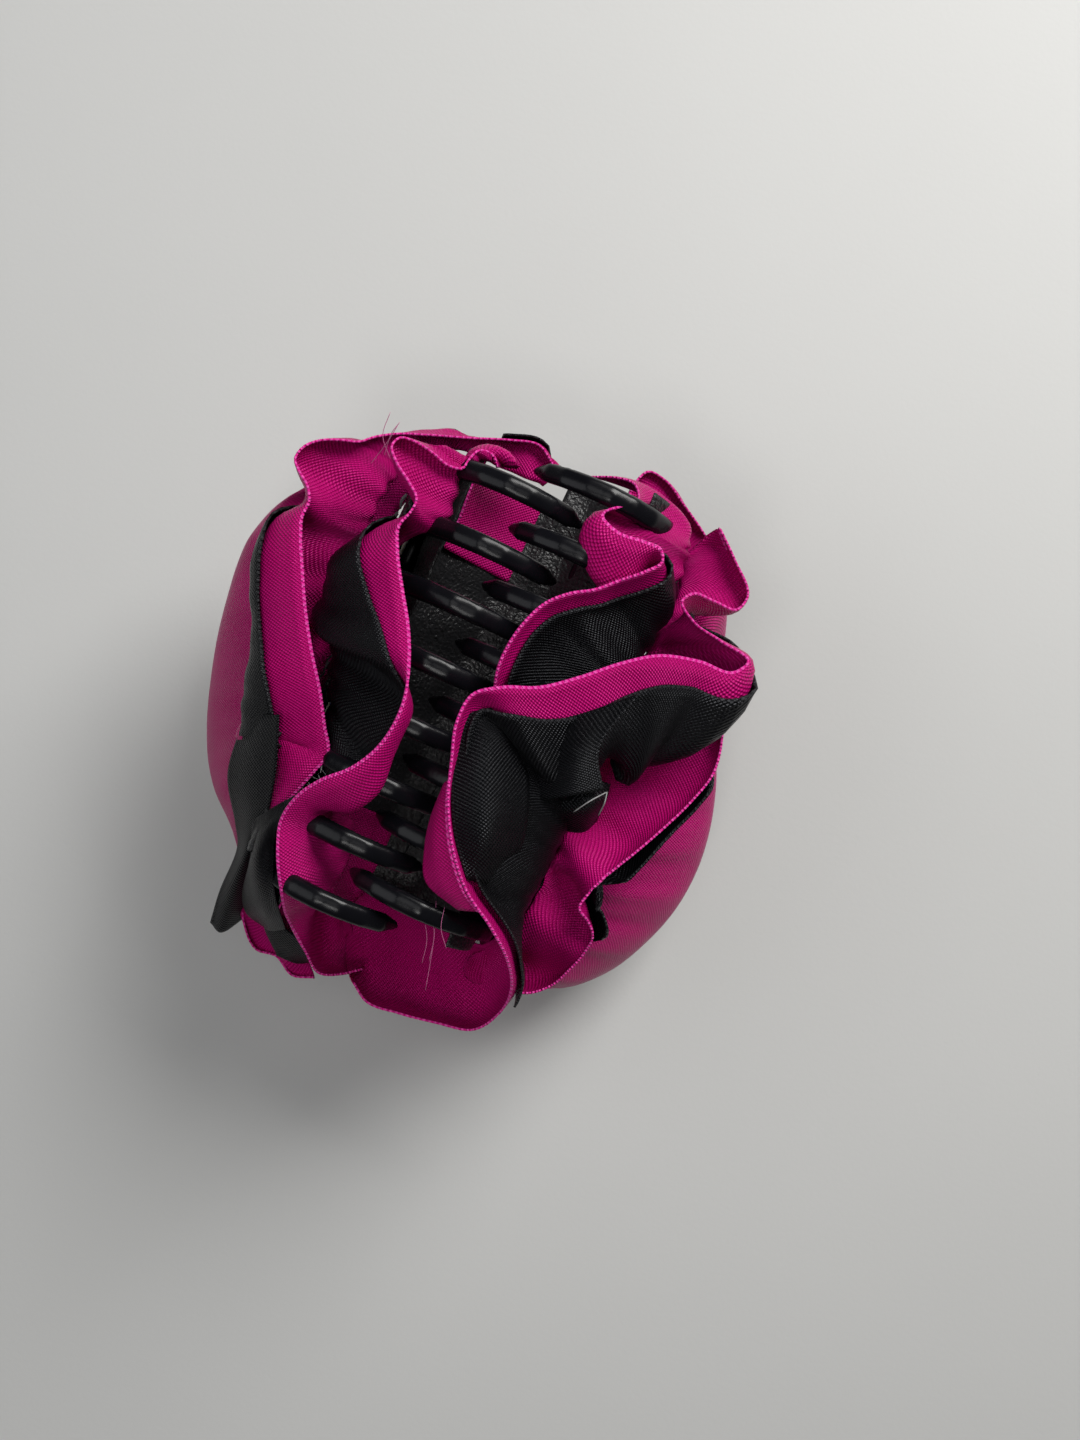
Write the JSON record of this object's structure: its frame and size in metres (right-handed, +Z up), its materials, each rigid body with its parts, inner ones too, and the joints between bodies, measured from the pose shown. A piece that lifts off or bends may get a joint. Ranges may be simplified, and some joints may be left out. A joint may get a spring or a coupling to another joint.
{
  "type": "claw clip",
  "caption": "Sprung hair claw: two toothed jaws on a hinge pin, thumb tabs below, dressed outside with gathered magenta and black satin ribbon.",
  "frame": {"origin": "middle of the footprint on the surface the claw lies on, at the level of the thumb tabs' flat ends", "axes": "+Z up towards the teeth, +Y along the hinge pin, +X across the mouth towards the half that moves"},
  "size_m": [0.1068, 0.1145, 0.0704],
  "materials": {
    "black_plastic": "glossy moulded black plastic",
    "steel": "drawn spring wire and pin",
    "black_webbing": "coarse black woven band",
    "hot_glue": "set hot-melt glue",
    "magenta_satin": "magenta satin ribbon with a stitched edge",
    "black_satin": "black satin ribbon",
    "thread": "dark sewing thread"
  },
  "bodies": {
    "left_half": {"hinge_pin": "steel", "torsion_spring": "steel", "left_jaw": "black_plastic", "left_glue_strip": "hot_glue", "left_backing": "black_webbing", "left_inner_magenta_ribbon": "magenta_satin", "left_inner_black_ribbon": "black_satin", "left_middle_magenta_ribbon": "magenta_satin", "left_middle_black_ribbon": "black_satin", "left_outer_magenta_ribbon": "magenta_satin", "left_inner_gather_thread": "thread", "left_middle_gather_thread": "thread", "left_outer_gather_thread": "thread"},
    "right_half": {"right_jaw": "black_plastic", "right_glue_strip": "hot_glue", "right_backing": "black_webbing", "right_inner_magenta_ribbon": "magenta_satin", "right_inner_black_ribbon": "black_satin", "right_middle_magenta_ribbon": "magenta_satin", "right_middle_black_ribbon": "black_satin", "right_outer_magenta_ribbon": "magenta_satin", "right_inner_gather_thread": "thread", "right_middle_gather_thread": "thread", "right_outer_gather_thread": "thread"}
  },
  "joints": [
    {"name": "jaw_hinge", "type": "hinge", "parent": "left_half", "child": "right_half", "pos_m": [0, 0.006, 0.02], "axis": [0, 1, 0], "range_deg": [0, 50], "stiffness_Nm_per_rad": 0.12, "springref_deg": -51.57, "deforming": ["torsion_spring"]}
  ]
}
